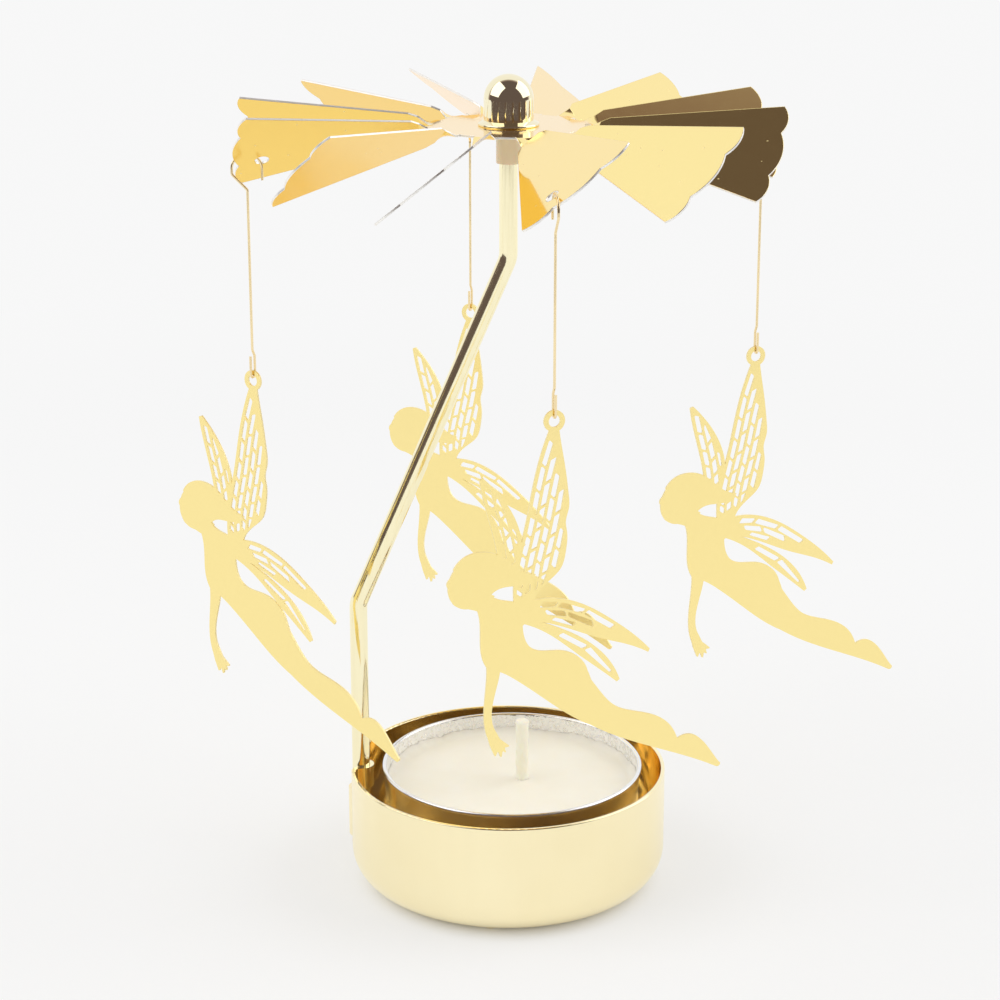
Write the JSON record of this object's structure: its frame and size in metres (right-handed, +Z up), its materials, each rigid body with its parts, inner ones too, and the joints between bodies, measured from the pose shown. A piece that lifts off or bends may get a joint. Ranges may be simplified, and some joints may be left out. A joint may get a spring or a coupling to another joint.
{
  "type": "rotary candle carousel",
  "caption": "Tea light stand with a pitched fan that turns on a needle above the flame and carries flat winged figures round on hook wires.",
  "frame": {"origin": "on the table plane, straight below the spindle's point, which is the centre of the cup", "axes": "+Z up along the spindle, -X towards the post's foot, -Y towards the viewer of the picture"},
  "size_m": [0.1065, 0.0832, 0.1195],
  "materials": {
    "cup_gold": "satin plated",
    "post_gold": "polished plated",
    "fan_gold": "mirror plated",
    "dome_gold": "mirror plated",
    "wire_gold": "drawn wire",
    "figure_gold": "satin plated",
    "sleeve_plastic": "moulded",
    "needle_steel": "ground",
    "tealight_aluminium": "drawn",
    "candle_wax": "cast wax",
    "candle_wick": "waxed cord"
  },
  "bodies": {
    "stand": {"base_cup": "cup_gold", "post": "post_gold", "needle_sleeve": "sleeve_plastic", "pivot_needle": "needle_steel"},
    "rotor": {"fan": "fan_gold", "dome_cap": "dome_gold", "hub_washer": "dome_gold", "bearing_cup": "needle_steel"},
    "hook_left": {"hook_wire_left": "wire_gold"},
    "figure_left": {"fairy_left": "figure_gold"},
    "hook_front": {"hook_wire_front": "wire_gold"},
    "figure_front": {"fairy_front": "figure_gold"},
    "hook_right": {"hook_wire_right": "wire_gold"},
    "figure_right": {"fairy_right": "figure_gold"},
    "hook_back": {"hook_wire_back": "wire_gold"},
    "figure_back": {"fairy_back": "figure_gold"},
    "tealight": {"tealight_cup": "tealight_aluminium", "wax": "candle_wax", "wick": "candle_wick", "wick_sustainer": "tealight_aluminium"}
  },
  "joints": [
    {"name": "rotor_spin", "type": "hinge", "parent": "stand", "child": "rotor", "pos_m": [0, 0, 0.1], "axis": [0, 0, 1], "continuous": true},
    {"name": "hook_swing_left", "type": "hinge", "parent": "rotor", "child": "hook_left", "pos_m": [-0.03553, -0.00574, 0.10738], "axis": [-0.1596, 0.9872, 0], "range_deg": [-8, 25]},
    {"name": "hook_swing_front", "type": "hinge", "parent": "rotor", "child": "hook_front", "pos_m": [0.00574, -0.03553, 0.10738], "axis": [-0.9872, -0.1596, 0], "range_deg": [-8, 25]},
    {"name": "hook_swing_right", "type": "hinge", "parent": "rotor", "child": "hook_right", "pos_m": [0.03553, 0.00574, 0.10738], "axis": [0.1596, -0.9872, 0], "range_deg": [-8, 25]},
    {"name": "hook_swing_back", "type": "hinge", "parent": "rotor", "child": "hook_back", "pos_m": [-0.00574, 0.03553, 0.10738], "axis": [0.9872, 0.1596, 0], "range_deg": [-8, 25]},
    {"name": "figure_swing_left", "type": "hinge", "parent": "hook_left", "child": "figure_left", "pos_m": [-0.03553, -0.00574, 0.07824], "axis": [-0.5736, -0.8192, 0], "range_deg": [-25, 25]},
    {"name": "figure_swing_front", "type": "hinge", "parent": "hook_front", "child": "figure_front", "pos_m": [0.00574, -0.03553, 0.08064], "axis": [0.3584, -0.9336, 0], "range_deg": [-25, 25]},
    {"name": "figure_swing_right", "type": "hinge", "parent": "hook_right", "child": "figure_right", "pos_m": [0.03553, 0.00574, 0.0789], "axis": [0.3584, -0.9336, 0], "range_deg": [-25, 25]},
    {"name": "figure_swing_back", "type": "hinge", "parent": "hook_back", "child": "figure_back", "pos_m": [-0.00574, 0.03553, 0.07834], "axis": [-0.454, -0.891, 0], "range_deg": [-25, 25]},
    {"name": "tealight_lift", "type": "slide", "parent": "stand", "child": "tealight", "axis": [0, 0, 1], "range_m": [0, 0.02]}
  ]
}
